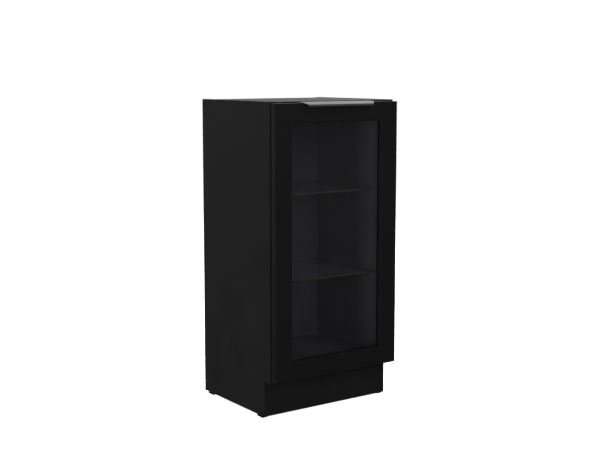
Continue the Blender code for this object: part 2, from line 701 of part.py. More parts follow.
def hinge_cup(level, height):
    """A pressed cup with a flange on the door's back, an ear above and one below."""
    start = math.degrees(math.acos(-CUP_EAR_START / CUP_RIM))
    outline = [(CUP_RIM, -CUP_EAR_HALF), (CUP_RIM, CUP_EAR_HALF), (-CUP_EAR_START, CUP_EAR_HALF)]
    outline += arc((0, 0), CUP_RIM, start, 360 - start, 12)
    outline += [(-CUP_EAR_START, -CUP_EAR_HALF)]
    name = f"hinge_cup_{level}"
    mesh = outline_mesh(name, [outline], CUP_FLANGE)
    flange_middle = DOOR_BACK + FIT + CUP_FLANGE / 2
    cup = add_object(name, mesh, nickel(), (CUP_X, flange_middle, height))
    cup.rotation_euler = (math.radians(90), 0, 0)
    body = Cutter(f"{name}_body")
    bottom = DOOR_BACK - CUP_DEPTH + FIT
    body.bore((CUP_X, bottom, height), (CUP_X, flange_middle, height), CUP_RADIUS, ROUND_SIDES)
    body.cut(cup)
    cup.modifiers[f"{name}_body"].operation = "UNION"
    hollow = Cutter(f"{name}_hollow")
    inner = CUP_RADIUS - CUP_WALL
    mouth = DOOR_BACK + FIT + CUP_FLANGE + BEYOND
    hollow.bore((CUP_X, bottom + CUP_WALL, height), (CUP_X, mouth, height), inner, ROUND_SIDES)
    hollow.cut(cup)
    pocket = Cutter(f"{name}_pin_seat")
    half = PIVOT_HALF + FIT
    low = (PIVOT_X, PIVOT_Y, height - half)
    pocket.bore(low, (PIVOT_X, PIVOT_Y, height + half), PIVOT_RADIUS + PIVOT_PLAY, ROUND_SIDES)
    pocket.cut(cup)
    holes = Cutter(f"{name}_screw_holes")
    for end, up in (("bottom", -CUP_SCREW_HALF), ("top", CUP_SCREW_HALF)):
        x = CUP_X + CUP_SCREW_ASIDE
        z = height + up
        holes.bore((x, DOOR_BACK - BEYOND, z), (x, mouth, z), CUP_SCREW[2] + FIT)
        seat = (x, DOOR_BACK + 2 * FIT + CUP_FLANGE, z)
        screw_piece(f"hinge_cup_screw_{level}_{end}", CUP_SCREW, seat, (0, 1, 0))
    holes.cut(cup)


def hinge_arm(level, pivot):
    """An arm round the pin, along the cup, out of its mouth and back onto the mounting plate."""
    left = ARM_LEFT - pivot.x
    right = ARM_RIGHT - pivot.x
    back = CARCASS_FRONT + ARM_LENGTH - pivot.y
    front_edge = CARCASS_FRONT - pivot.y
    top_of_bar = -ARM_BAR_TOP
    under_bar = -ARM_SHEET
    start = math.degrees(math.asin(top_of_bar / EYE_RADIUS))
    riser = ARM_RISER - ARM_SHEET
    outline = arc((0, 0), EYE_RADIUS, start, 270, 12)
    outline += [
        (EYE_RADIUS, under_bar),
        (ARM_RISER, under_bar),
        (ARM_RISER, front_edge + ARM_CRANK_OUTER[0]),
        (right, front_edge + ARM_CRANK_OUTER[1]),
        (right, back),
        (left, back),
        (left, front_edge + ARM_CRANK_INNER[1]),
        (riser, front_edge + ARM_CRANK_INNER[0]),
        (riser, top_of_bar),
    ]
    eye = arc((0, 0), PIVOT_RADIUS + PIVOT_PLAY, 0, 345, 23)
    name = f"hinge_arm_{level}"
    arm = add_object(name, outline_mesh(name, [outline, eye], 2 * ARM_HALF_WIDTH), nickel(), pivot)
    hole = Cutter(f"{name}_screw_hole")
    y = CARCASS_FRONT + ARM_SCREW
    start = (ARM_LEFT - BEYOND, y, pivot.z)
    hole.bore(start, (ARM_RIGHT + BEYOND, y, pivot.z), ARM_SCREW_SIZES[2] + FIT)
    hole.cut(arm)
    screw_piece(f"hinge_arm_screw_{level}", ARM_SCREW_SIZES, (ARM_RIGHT + FIT, y, pivot.z), (1, 0, 0))


def hinge_plate(level, height):
    """A cross-shaped plate on the side panel, with a screw in each wing."""
    name = f"hinge_plate_{level}"
    front = PLATE_FRONT
    back = ARM_LENGTH - PLATE_SHORTER
    wing_front = PLATE_SCREW_LINE - PLATE_HALF
    wing_back = PLATE_SCREW_LINE + PLATE_HALF
    wing = PLATE_SCREW_HALF + PLATE_HALF
    outline = [
        (front, -PLATE_TIP_HALF),
        (wing_front, -PLATE_HALF),
        (wing_front, -wing),
        (wing_back, -wing),
        (wing_back, -PLATE_HALF),
        (back, -PLATE_TIP_HALF),
        (back, PLATE_TIP_HALF),
        (wing_back, PLATE_HALF),
        (wing_back, wing),
        (wing_front, wing),
        (wing_front, PLATE_HALF),
        (front, PLATE_TIP_HALF),
    ]
    mesh = outline_mesh(name, [outline], PLATE_THICKNESS)
    mesh.transform(Matrix(((0, 0, 1, 0), (1, 0, 0, 0), (0, 1, 0, 0), (0, 0, 0, 1))))
    plate = add_object(name, mesh, nickel(), (PLATE_INNER + PLATE_THICKNESS / 2, CARCASS_FRONT, height))
    holes = Cutter(f"{name}_holes")
    sinks = Cutter(f"{name}_countersinks")
    middle_y = CARCASS_FRONT + ARM_SCREW
    low, high = PLATE_INNER - BEYOND, PLATE_OUTER + BEYOND
    holes.bore((low, middle_y, height), (high, middle_y, height), ARM_SCREW_SIZES[2] + FIT)
    y = CARCASS_FRONT + PLATE_SCREW_LINE
    for end, up in (("bottom", -PLATE_SCREW_HALF), ("top", PLATE_SCREW_HALF)):
        z = height + up
        holes.bore((low, y, z), (high, y, z), PLATE_SCREW[2] + FIT)
        sinks.countersink((PLATE_OUTER, y, z), (1, 0, 0), PLATE_SCREW)
        screw_piece(f"hinge_plate_screw_{level}_{end}", PLATE_SCREW, (PLATE_OUTER, y, z), (1, 0, 0))
    holes.cut(plate)
    sinks.cut(plate)


def main():
    clear_scene()
    side_panels()
    level_panels()
    back_panel()
    plinth()
    glides()
    shelves()
    door_frame()
    door_glass()
    handle()
    bumpers()
    for level, height in HINGES.items():
        hinge(level, height)


main()
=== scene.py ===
"""Looks of a black base cabinet with one framed glass door.  Metres, Z up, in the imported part's frame."""
import math

import bmesh
import bpy
import numpy as np
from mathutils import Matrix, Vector


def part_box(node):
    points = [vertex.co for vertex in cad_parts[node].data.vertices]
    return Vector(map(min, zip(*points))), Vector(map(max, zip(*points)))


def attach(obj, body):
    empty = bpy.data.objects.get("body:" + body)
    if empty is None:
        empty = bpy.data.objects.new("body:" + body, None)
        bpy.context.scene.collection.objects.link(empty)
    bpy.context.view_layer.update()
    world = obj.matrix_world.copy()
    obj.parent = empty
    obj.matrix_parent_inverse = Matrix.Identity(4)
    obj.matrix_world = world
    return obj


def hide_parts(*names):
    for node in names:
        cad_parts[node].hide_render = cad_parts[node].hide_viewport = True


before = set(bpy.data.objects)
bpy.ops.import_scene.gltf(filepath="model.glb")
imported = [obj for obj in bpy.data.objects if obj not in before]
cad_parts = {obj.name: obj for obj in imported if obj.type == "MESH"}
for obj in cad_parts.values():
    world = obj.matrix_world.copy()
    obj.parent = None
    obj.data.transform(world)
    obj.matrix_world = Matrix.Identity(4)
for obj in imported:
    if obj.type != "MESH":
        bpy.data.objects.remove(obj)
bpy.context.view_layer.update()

# ---------------------------------------------------------------- sizes of the fine detail
MERGE = 0.000002              # points closer than this are one point
CREASE = 35.0                 # edges sharper than this many degrees stay sharp
CORNER_STEPS = 5
ROUND = 48                    # columns round a turned piece
CROSS_ROUND = 72              # columns round a piece with a driver's cross
OUTLINE_REACH = 0.05          # further out than any outline that is searched for

DOOR_EDGE = 0.0016            # rounding of the lacquered edges
GLASS_LAP = 0.008
GLASS_PLAY = 0.0003
PANE_EDGE = 0.0003
SHELF_ARRIS = 0.0004

SHEET = 0.0016                # handle sheet
HANDLE_REACH = 0.016
HANDLE_DROP = 0.0059
HANDLE_LIP = 0.0052
HANDLE_END_INSET = 0.0125
HANDLE_BEND = 0.0016          # bend radius on the sheet's middle line
HANDLE_SLOPE_BEND = 0.004     # the same where the flat top turns into the slope
HANDLE_ARRIS = 0.00025

BUMPER_SKIRT = 0.35           # straight part of a bumper, as a share of its height
BUMPER_FOOT = 0.0002

SHELF_PIN_TIP = 0.0012        # rounding of the pin's head
SHELF_PIN_HEAD = 0.0088       # length of the head
SHELF_PIN_CHAMFER = 0.0004
SHELF_PIN_SHANK = 0.83        # radius of the shank, as a share of the head's,
SHELF_PIN_END = 0.7           # and the same at the shank's chamfered end

CAM_FACE = 0.8                # radius of the sunk face, as a share of the cam's,
CAM_RIM_START = 0.84          # where the rim starts,
CAM_CROSS = 0.6               # and how far the cross's bars reach
CAM_SUNK = 0.0004             # the cam's face under its rim
CAM_RIM = 0.0004              # chamfer of the rim
CAM_CROSS_DEPTH = 0.0016
CAM_CROSS_WIDTH = 0.0009      # half the width of the cross's bars
CAM_CROSS_SLOPE = 0.0003

CUP_RADIUS = 0.0172
CUP_WALL = 0.001
CUP_RIM = 0.0185
CUP_EAR = 0.028
CUP_EAR_START = 0.002         # the ears reach this far past the cup's middle
CUP_EAR_CORNER = 0.003
CUP_FILLET = 0.003            # between the bowl's floor and its wall
CUP_MOUTH = ((0, 0.0008), (0.0003, 0.0002), (0.0009, 0))  # steps out from the bowl's wall, and down
CUP_DEPTH = 0.0137
FLANGE = 0.001
BORE_BEYOND = 0.002           # added to the cup's depth, so that its bore runs out of the door's back
CUP_PLAY = 0.0003             # between the cup and its bore

PLATE_TONGUE = (0.025, 0.0058, 0.002)  # half size along, half size across and corner radius
PLATE_WINGS = (0.006, 0.022, 0.003)
PLATE_WING_SHIFT = 0.002      # the wings' middle from the tongue's
PLATE_EDGE = 0.0006
HINGE_PIN_EDGE = 0.0004

SCREW_DOME = 0.25             # fall of the dome at its rim, as a share of the head's height
SCREW_CROSS = 0.7             # depth of the cross, likewise
SCREW_SHANK = 0.45            # radius of the shank, as a share of the head's
SCREW_BARS = (0.55, 0.14, 0.1)  # reach, half width and slope of the cross's bars, likewise
ARM_SCREW_HEAD = 0.0016
CUP_SCREW_HEAD = 0.0012
PLATE_SCREW_HEAD, PLATE_SCREW_PROUD = 0.0008, 0.0005
HANDLE_SCREW_HEAD, HANDLE_SCREW_PROUD = 0.0007, 0.0004


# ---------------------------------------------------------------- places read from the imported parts
def corners(node):
    """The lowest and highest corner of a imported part, at rest."""
    low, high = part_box(node)
    return np.array(low), np.array(high)


def middle(node):
    """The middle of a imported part's box, at rest."""
    low, high = corners(node)
    return (low + high) / 2


DOOR_LOW, DOOR_HIGH = corners("door_frame")
GLASS_LOW, GLASS_HIGH = corners("door_glass")
FLOOR_LOW, FLOOR_HIGH = corners("bottom_panel")
ROOF_HIGH = corners("top_panel")[1]


# ---------------------------------------------------------------- shape tools
def quads(rows, columns, close_rows=False, close_columns=False, first=0):
    """Corner numbers of the faces between neighbouring rows and columns of a grid."""
    row = np.arange(rows if close_rows else rows - 1)
    column = np.arange(columns if close_columns else columns - 1)
    row, column = (part.ravel() for part in np.meshgrid(row, column, indexing="ij"))
    next_row, next_column = (row + 1) % rows, (column + 1) % columns
    faces = [row * columns + column, row * columns + next_column]
    faces += [next_row * columns + next_column, next_row * columns + column]
    return np.stack(faces, 1) + first


def aimed(points, direction, place):
    """Own Z runs along direction, own X along the next axis in the order X, Y, Z, then all moves to place."""
    along = np.array(direction, float)
    aside = np.roll(np.abs(along), 1)
    other = np.cross(along, aside)
    turned = points[..., :1] * aside + points[..., 1:2] * other + points[..., 2:] * along
    return turned + np.array(place)


def quarter_round(radius, start, end, steps):
    """Cosine and sine of the angles from start to end in degrees, times the radius."""
    angle = np.radians(np.linspace(start, end, steps + 1))
    return radius * np.cos(angle), radius * np.sin(angle)


def closed_shape(name, points, faces):
    """An object whose mesh is a closed skin: its double points merged and its faces turned outwards."""
    mesh = bpy.data.meshes.new(name)
    mesh.from_pydata(np.reshape(points, (-1, 3)).tolist(), [], [list(face) for face in faces])
    work = bmesh.new()
    work.from_mesh(mesh)
    bmesh.ops.remove_doubles(work, verts=work.verts, dist=MERGE)
    bmesh.ops.dissolve_degenerate(work, edges=work.edges, dist=MERGE)
    bmesh.ops.recalc_face_normals(work, faces=work.faces)
    work.to_mesh(mesh)
    work.free()
    shape = bpy.data.objects.new(name, mesh)
    bpy.context.scene.collection.objects.link(shape)
    return shape


def make_piece(name, points, faces, finish, body, nodes, arris=0.0):
    """A closed shape with its finish, softened on its arrises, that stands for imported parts."""
    piece = closed_shape(name, points, faces)
    piece.data.shade_smooth()
    piece.data.set_sharp_from_angle(angle=math.radians(CREASE))
    piece.data.materials.append(finish)
    if arris:
        bevel = piece.modifiers.new("softened_arrises", "BEVEL")
        bevel.width = arris
        bevel.segments = 2
        bevel.limit_method = "ANGLE"
        bevel.angle_limit = math.radians(CREASE)
    weighted = piece.modifiers.new("even_shading", "WEIGHTED_NORMAL")
    weighted.keep_sharp = True
    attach(piece, body)
    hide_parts(*nodes)
    return piece


QUARTER = np.repeat(np.arange(4), CORNER_STEPS + 1)
QUARTER_ANGLE = QUARTER * np.pi / 2 + np.tile(np.linspace(0, np.pi / 2, CORNER_STEPS + 1), 4)
RIGHTWARD = np.where((QUARTER == 0) | (QUARTER == 3), 1, -1)
UPWARD = np.where(QUARTER < 2, 1, -1)


def rectangle(low, high, corner):
    """A rectangle's outline with round corners: the corner's centre plus corner times (cos t, sin t)."""
    low, high = np.array(low), np.array(high)
    centre, half = (low + high) / 2, (high - low) / 2 - corner
    across = centre[0] + RIGHTWARD * half[0] + corner * np.cos(QUARTER_ANGLE)
    up = centre[1] + UPWARD * half[1] + corner * np.sin(QUARTER_ANGLE)
    return across, up


def soft_board(low, high, radius):
    """A board whose edges are quarter rounds: a sphere's grid, its eight parts moved out to the corners.

    Each point is its corner's centre plus radius times (cos t sin p, sin t sin p, cos p).
    """
    low, high = np.array(low), np.array(high)
    half = (high - low) / 2 - radius
    upper = np.linspace(0, np.pi / 2, CORNER_STEPS + 1)
    lower = np.linspace(np.pi / 2, np.pi, CORNER_STEPS + 1)
    polar = np.concatenate([upper, lower])
    top = np.where(np.arange(len(polar)) <= CORNER_STEPS, 1, -1)[:, None]
    x = RIGHTWARD * half[0] + radius * np.cos(QUARTER_ANGLE) * np.sin(polar)[:, None]
    y = UPWARD * half[1] + radius * np.sin(QUARTER_ANGLE) * np.sin(polar)[:, None]
    z = top * half[2] + radius * np.cos(polar)[:, None] + 0 * x
    points = np.stack([x, y, z], -1) + (low + high) / 2
    rows, columns = z.shape
    faces = quads(rows, columns, close_columns=True).tolist()
    cap = np.arange(4) * (CORNER_STEPS + 1)
    faces += [cap.tolist(), (cap + (rows - 1) * columns).tolist()]
    return points, faces


def turned_points(profile, dent=None, columns=ROUND):
    """A profile of (radius, height) carried round its axis; dent(x, y) is how far its first rows sink.

    x = radius cos t, y = radius sin t, z = height less the dent.
    """
    radius, height, dented = np.array(profile, float).T
    angle = np.linspace(0, 2 * np.pi, columns, endpoint=False)
    x = radius[:, None] * np.cos(angle)
    y = radius[:, None] * np.sin(angle)
    z = height[:, None] + 0 * x
    if dent:
        z = z - dented[:, None] * dent(x, y)
    return np.stack([x, y, z], -1), quads(len(radius), columns, close_columns=True)


def cross_recess(length, width, slope):
    """Depth of a driver's cross: the greater of two bars, each falling away over slope at its sides."""
    def depth(x, y):
        bar_x = np.clip((width - abs(x)) / slope, 0, 1) * np.clip((length - abs(y)) / slope, 0, 1)
        bar_y = np.clip((width - abs(y)) / slope, 0, 1) * np.clip((length - abs(x)) / slope, 0, 1)
        return np.maximum(bar_x, bar_y)
    return depth


def outline_radius(distance, angles, reach):
    """Distance from the middle to an outline, by halving the step where the signed distance changes sign."""
    near, far = np.zeros_like(angles), np.full_like(angles, reach)
    for _ in range(40):
        trial = (near + far) / 2
        inside = distance(trial * np.cos(angles), trial * np.sin(angles)) < 0
        near, far = np.where(inside, trial, near), np.where(inside, far, trial)
    return near


def soft_box_distance(x, y, half_x, half_y, corner):
    """Signed distance to a rectangle with round corners."""
    over_x, over_y = abs(x) - half_x + corner, abs(y) - half_y + corner
    outside = np.hypot(np.maximum(over_x, 0), np.maximum(over_y, 0))
    return outside + np.minimum(np.maximum(over_x, over_y), 0) - corner


def bent_sheet(line, thickness, low_end, high_end):
    """Sheet bent along a line: the line plus and minus half the thickness along its normal, carried across.

    line is (n, 2); low_end and high_end give each line point's two ends on the third axis.
    """
    run = np.gradient(line, axis=0)
    normal = np.stack([-run[:, 1], run[:, 0]], 1) / np.linalg.norm(run, axis=1)[:, None]
    upper, lower = line + normal * thickness / 2, line - normal * thickness / 2
    loop = np.concatenate([upper, lower[::-1]])
    ends = [np.concatenate([low_end(side), high_end(side)]) for side in (upper, lower[::-1])]
    count = len(line)
    low = np.concatenate([ends[0][:count], ends[1][:count]])
    high = np.concatenate([ends[0][count:], ends[1][count:]])
    points = np.stack([np.column_stack([loop, low]), np.column_stack([loop, high])])
    faces = quads(2, 2 * count, close_columns=True).tolist()
    step = np.arange(count - 1)
    cap = np.stack([step, step + 1, 2 * count - 2 - step, 2 * count - 1 - step], 1)
    return points, faces + cap.tolist() + (cap + 2 * count).tolist()


def rounded_line(points, radii, steps=8):
    """A line of straight runs whose corners are arcs that touch both runs."""
    points = np.array(points, float)
    line = [points[:1]]
    for before, corner, after, radius in zip(points, points[1:], points[2:], radii):
        into, out = before - corner, after - corner
        into, out = into / np.linalg.norm(into), out / np.linalg.norm(out)
        half = math.acos(np.clip(into @ out, -1, 1)) / 2
        bisector = (into + out) / np.linalg.norm(into + out)
        centre = corner + bisector * radius / math.sin(half)
        start = corner + into * radius / math.tan(half) - centre
        end = corner + out * radius / math.tan(half) - centre
        share = np.linspace(0, 1, steps + 1)[:, None]
        sweep = math.pi - 2 * half
        arc = np.sin((1 - share) * sweep) * start + np.sin(share * sweep) * end
        line.append(centre + arc / math.sin(sweep))
    line.append(points[-1:])
    return np.concatenate(line)


# ---------------------------------------------------------------- finishes
def linear(value):
    """An 8-bit display value as the linear value that a shader takes."""
    value = value / 255
    return value / 12.92 if value <= 0.04045 else ((value + 0.055) / 1.055) ** 2.4


def shade(*values):
    """A colour as a shader takes it, from three 8-bit display values."""
    return (*[linear(value) for value in values], 1)


def new_finish(name, colour, roughness, metallic=0.0, specular=0.5):
    """A material whose one shader carries its even values on its own sockets."""
    finish = bpy.data.materials.new(name)
    finish.use_nodes = True
    shader = finish.node_tree.nodes["Principled BSDF"]
    shader.inputs["Base Color"].default_value = shade(*colour)
    shader.inputs["Roughness"].default_value = roughness
    shader.inputs["Metallic"].default_value = metallic
    shader.inputs["Specular IOR Level"].default_value = specular
    return finish


def grain(finish, size, stretch=(1, 1, 1), detail=3.0):
    """Noise on the piece's own coordinates, with features of a size in metres, longer where stretched."""
    nodes, links = finish.node_tree.nodes, finish.node_tree.links
    coordinates = nodes.new("ShaderNodeTexCoord")
    mapping = nodes.new("ShaderNodeMapping")
    mapping.inputs["Scale"].default_value = [1 / (size * longer) for longer in stretch]
    noise = nodes.new("ShaderNodeTexNoise")
    noise.inputs["Scale"].default_value = 1.0
    noise.inputs["Detail"].default_value = detail
    links.new(coordinates.outputs["Object"], mapping.inputs["Vector"])
    links.new(mapping.outputs["Vector"], noise.inputs["Vector"])
    return noise.outputs["Fac"]


def spread(finish, pattern, low, high, start=0.3, end=0.7, eased=False):
    """The pattern's range from start to end, spread from low to high, evenly or eased at both ends."""
    node = finish.node_tree.nodes.new("ShaderNodeMapRange")
    if eased:
        node.interpolation_type = "SMOOTHSTEP"
    for socket, value in (("From Min", start), ("From Max", end), ("To Min", low), ("To Max", high)):
        node.inputs[socket].default_value = value
    finish.node_tree.links.new(pattern, node.inputs["Value"])
    return node.outputs["Result"]


def tones(finish, pattern, dark, light, start=0.3, end=0.7):
    """A ramp from a dark tone to a light one along the pattern."""
    ramp = finish.node_tree.nodes.new("ShaderNodeValToRGB")
    for element, place, colour in zip(ramp.color_ramp.elements, (start, end), (dark, light)):
        element.position = place
        element.color = shade(*colour)
    finish.node_tree.links.new(pattern, ramp.inputs["Fac"])
    return ramp.outputs["Color"]


def feed(finish, source, socket):
    """Leads a pattern into one of the shader's sockets."""
    shader = finish.node_tree.nodes["Principled BSDF"]
    finish.node_tree.links.new(source, shader.inputs[socket])


def relief(finish, pattern, depth, strength=1.0, under=None):
    """Bump of a depth in metres, laid over another bump where there is one."""
    bump = finish.node_tree.nodes.new("ShaderNodeBump")
    bump.inputs["Distance"].default_value = depth
    bump.inputs["Strength"].default_value = strength
    finish.node_tree.links.new(pattern, bump.inputs["Height"])
    if under:
        finish.node_tree.links.new(under, bump.inputs["Normal"])
    feed(finish, bump.outputs["Normal"], "Normal")
    return bump.outputs["Normal"]


def place_along(finish, axis):
    """The piece's own coordinate along one axis, in metres."""
    nodes, links = finish.node_tree.nodes, finish.node_tree.links
    coordinates, split = nodes.new("ShaderNodeTexCoord"), nodes.new("ShaderNodeSeparateXYZ")
    links.new(coordinates.outputs["Object"], split.inputs["Vector"])
    return split.outputs[axis]


def figure(finish, operation, *values):
    """One step of arithmetic on patterns and plain numbers."""
    node = finish.node_tree.nodes.new("ShaderNodeMath")
    node.operation = operation
    for socket, value in zip(node.inputs, values):
        if isinstance(value, float):
            socket.default_value = value
        else:
            finish.node_tree.links.new(value, socket)
    return node.outputs["Value"]


def blend_tones(finish, share, first, second):
    """The first tone where the share is 0, and the second where it is 1."""
    mix = finish.node_tree.nodes.new("ShaderNodeMix")
    mix.data_type = "RGBA"
    sources = {"Factor": share, "A": first, "B": second}
    for socket in mix.inputs:
        if socket.enabled and socket.name in sources:
            finish.node_tree.links.new(sources[socket.name], socket)
    return next(output for output in mix.outputs if output.enabled)


# Painted light: the melamine's inner faces take a lighter tone in place of the light inside the cabinet.
PAINTED_LIGHT_SIDE = 0.0006           # the painted light on the inner faces reaches this far past the bottom panel's ends,
PAINTED_LIGHT_TOP = 0.0008            # stops this far under the top panel's upper face,
PAINTED_LIGHT_BOTTOM = 0.0003         # and starts this far over the bottom panel's lower face
PAINTED_LIGHT_FRONT = 0.0008          # and this far behind its front edge


def black_melamine():
    """Pressed melamine: a fine pearl grain, a slow change of sheen, and painted light on the inner faces.

    The painted light is a lighter copy of the tone, in place of the light inside the cabinet. It lies between
    the sides, under the top's upper face, over the bottom's lower face and behind the boards' front edges.
    """
    finish = new_finish("black_melamine", (22, 22, 23), 0.5, specular=0.1)
    pearl = grain(finish, 0.0007, detail=2.0)
    cloud = grain(finish, 0.09, detail=4.0)
    # Painted light: a mask of the inner faces, which take a lighter copy of the tone than the outer faces.
    across = figure(finish, "ABSOLUTE", place_along(finish, "X"))
    within = figure(finish, "LESS_THAN", across, float(FLOOR_HIGH[0]) + PAINTED_LIGHT_SIDE)
    height = place_along(finish, "Z")
    below_top = figure(finish, "LESS_THAN", height, float(ROOF_HIGH[2]) - PAINTED_LIGHT_TOP)
    above_plinth = figure(finish, "GREATER_THAN", height, float(FLOOR_LOW[2]) + PAINTED_LIGHT_BOTTOM)
    behind_edge = figure(finish, "GREATER_THAN", place_along(finish, "Y"), float(FLOOR_LOW[1]) + PAINTED_LIGHT_FRONT)
    inside = figure(finish, "MULTIPLY", within, figure(finish, "MULTIPLY", below_top, above_plinth))
    inside = figure(finish, "MULTIPLY", inside, behind_edge)
    outer = tones(finish, cloud, (20, 20, 20), (24, 24, 24))
    inner = tones(finish, cloud, (46, 45, 48), (53, 52, 55))
    feed(finish, blend_tones(finish, inside, outer, inner), "Base Color")
    feed(finish, spread(finish, cloud, 0.46, 0.58), "Roughness")
    relief(finish, pearl, 0.00002, 0.25)
    return finish


def black_lacquer():
    """Sprayed satin lacquer: a smooth film with a slight orange peel."""
    finish = new_finish("black_lacquer", (16, 16, 17), 0.3, specular=0.25)
    peel = grain(finish, 0.0025, detail=1.0)
    cloud = grain(finish, 0.12, detail=3.0)
    feed(finish, tones(finish, cloud, (16, 16, 16), (18, 18, 18)), "Base Color")
    feed(finish, spread(finish, cloud, 0.28, 0.36), "Roughness")
    relief(finish, peel, 0.00003, 0.4)
    return finish


def black_hardboard():
    """Pressed fibreboard: short fibres in every direction, darker between them."""
    finish = new_finish("black_hardboard", (42, 42, 47), 0.7, specular=0.25)
    fibres = grain(finish, 0.0012, (3, 1, 1), 4.0)
    cloud = grain(finish, 0.05, detail=4.0)
    feed(finish, tones(finish, cloud, (43, 42, 45), (50, 49, 52)), "Base Color")
    feed(finish, spread(finish, fibres, 0.6, 0.78), "Roughness")
    relief(finish, fibres, 0.00003, 0.6)
    return finish


GLASS_MIRROR = 0.04           # share of the light that a glass face mirrors head on
MIRROR_COLOUR = (0.94, 0.92, 1, 1)
# Painted sheen and haze: the white of a pane's diffuse layer.
HAZE_AND_SHEEN_COLOUR = (0.8, 0.8, 0.82, 1)


def pane_glass(name, tint, roughness, haze_and_sheen_share):
    """A pane: what is behind shows through a tint and a faint white diffuse layer, part haze and part painted
    sheen, and both sides mirror by the angle.

    The mirrored share is m + (1 - m) (1 - cos a) to the fifth, with m the share head on.
    """
    finish = bpy.data.materials.new(name)
    finish.use_nodes = True
    nodes, links = finish.node_tree.nodes, finish.node_tree.links
    nodes.remove(nodes["Principled BSDF"])
    through = nodes.new("ShaderNodeBsdfTransparent")
    through.inputs["Color"].default_value = (*tint, 1)
    mirror = nodes.new("ShaderNodeBsdfGlossy")
    mirror.inputs["Roughness"].default_value = roughness
    mirror.inputs["Color"].default_value = MIRROR_COLOUR
    facing = nodes.new("ShaderNodeLayerWeight")
    facing.inputs["Blend"].default_value = 0.5
    steep = figure(finish, "POWER", facing.outputs["Facing"], 5.0)
    mirrored = figure(finish, "MULTIPLY_ADD", steep, 1 - GLASS_MIRROR, GLASS_MIRROR)
    mix = nodes.new("ShaderNodeMixShader")
    haze_and_sheen = nodes.new("ShaderNodeBsdfDiffuse")
    haze_and_sheen.inputs["Color"].default_value = HAZE_AND_SHEEN_COLOUR
    haze_and_sheen_mix = nodes.new("ShaderNodeMixShader")
    haze_and_sheen_mix.inputs["Fac"].default_value = haze_and_sheen_share
    links.new(through.outputs["BSDF"], haze_and_sheen_mix.inputs[1])
    links.new(haze_and_sheen.outputs["BSDF"], haze_and_sheen_mix.inputs[2])
    links.new(mirrored, mix.inputs["Fac"])
    links.new(haze_and_sheen_mix.outputs["Shader"], mix.inputs[1])
    links.new(mirror.outputs["BSDF"], mix.inputs[2])
    links.new(mix.outputs["Shader"], nodes["Material Output"].inputs["Surface"])
    return finish


def green_edge():
    """The ground and polished edge of float glass, where the eye looks along the sheet."""
    finish = new_finish("green_glass_edge", (34, 48, 20), 0.12, specular=0.2)
    streak = grain(finish, 0.004, (12, 12, 1), 3.0)
    feed(finish, tones(finish, streak, (27, 35, 20), (46, 57, 34)), "Base Color")
    feed(finish, spread(finish, streak, 0.08, 0.2), "Roughness")
    return finish


def brushed_aluminium():
    """Aluminium brushed along the handle: long fine scratches in height, tone and sheen."""
    finish = new_finish("brushed_aluminium", (196, 196, 199), 0.34, metallic=1.0)
    scratch = grain(finish, 0.00018, (220, 1, 1), 3.0)
    cloud = grain(finish, 0.03, (3, 1, 1), 2.0)
    feed(finish, tones(finish, scratch, (168, 168, 171), (196, 196, 198)), "Base Color")
    feed(finish, spread(finish, cloud, 0.3, 0.4), "Roughness")
    relief(finish, scratch, 0.000012, 0.5)
    return finish


def plated_steel(name, dark, light, rough):
    """Plating over pressed steel: soft mottling with fine pits."""
    finish = new_finish(name, light, rough[0], metallic=1.0)
    mottle = grain(finish, 0.004, detail=4.0)
    pits = grain(finish, 0.0004, detail=1.0)
    feed(finish, tones(finish, mottle, dark, light), "Base Color")
    feed(finish, spread(finish, mottle, *rough), "Roughness")
    relief(finish, pits, 0.000008, 0.5)
    return finish


def moulded_plastic():
    """Black moulded plastic with a spark-eroded grain."""
    finish = new_finish("black_plastic", (4, 4, 4), 0.5, specular=0.2)
    erosion = grain(finish, 0.0005, detail=3.0)
    feed(finish, tones(finish, erosion, (3, 3, 3), (6, 6, 6)), "Base Color")
    feed(finish, spread(finish, erosion, 0.42, 0.6), "Roughness")
    relief(finish, erosion, 0.00003, 0.7)
    return finish


def clear_bumper():
    """Cloudy clear polyurethane."""
    finish = new_finish("clear_bumper", (205, 208, 204), 0.35)
    cloud = grain(finish, 0.002, detail=2.0)
    feed(finish, tones(finish, cloud, (180, 184, 180), (214, 216, 212)), "Base Color")
    feed(finish, spread(finish, cloud, 0.25, 0.42), "Roughness")
    return finish


MELAMINE = black_melamine()
LACQUER = black_lacquer()
HARDBOARD = black_hardboard()
DOOR_PANE = pane_glass("clear_pane", (0.965, 0.96, 0.97), 0.02, 0.0005)
# The shelf's white diffuse layer is mostly painted sheen on its faces, with a little haze.
SHELF_FACE = pane_glass("clear_shelf_face", (0.98, 0.985, 0.98), 0.02, 0.025)
SHELF_EDGE = green_edge()
ALUMINIUM = brushed_aluminium()
NICKEL = plated_steel("nickel_plate", (150, 147, 140), (186, 183, 176), (0.2, 0.32))
ZINC = plated_steel("zinc_casting", (120, 121, 123), (158, 158, 158), (0.38, 0.52))
PIN_STEEL = plated_steel("blackened_steel", (24, 24, 25), (36, 36, 37), (0.42, 0.56))
PLASTIC = moulded_plastic()
BUMPER = clear_bumper()


def finish_packed_parts():
    """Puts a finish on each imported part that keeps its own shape."""
    kept = {
        MELAMINE: ("side_panel_left", "side_panel_right", "top_panel", "bottom_panel", "plinth_board"),
        HARDBOARD: ("back_panel",),
        PLASTIC: (
            "plinth_block_left", "plinth_block_right",
            "glazing_bead_left", "glazing_bead_right", "glazing_bead_top", "glazing_bead_bottom",
            "foot_glide_front_left", "foot_glide_front_right",
            "foot_glide_rear_left", "foot_glide_rear_right",
        ),
        NICKEL: ("hinge_arm_lower", "hinge_arm_upper"),
    }
    for finish, nodes in kept.items():
        for node in nodes:
            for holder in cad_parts[node].material_slots:
                holder.material = finish


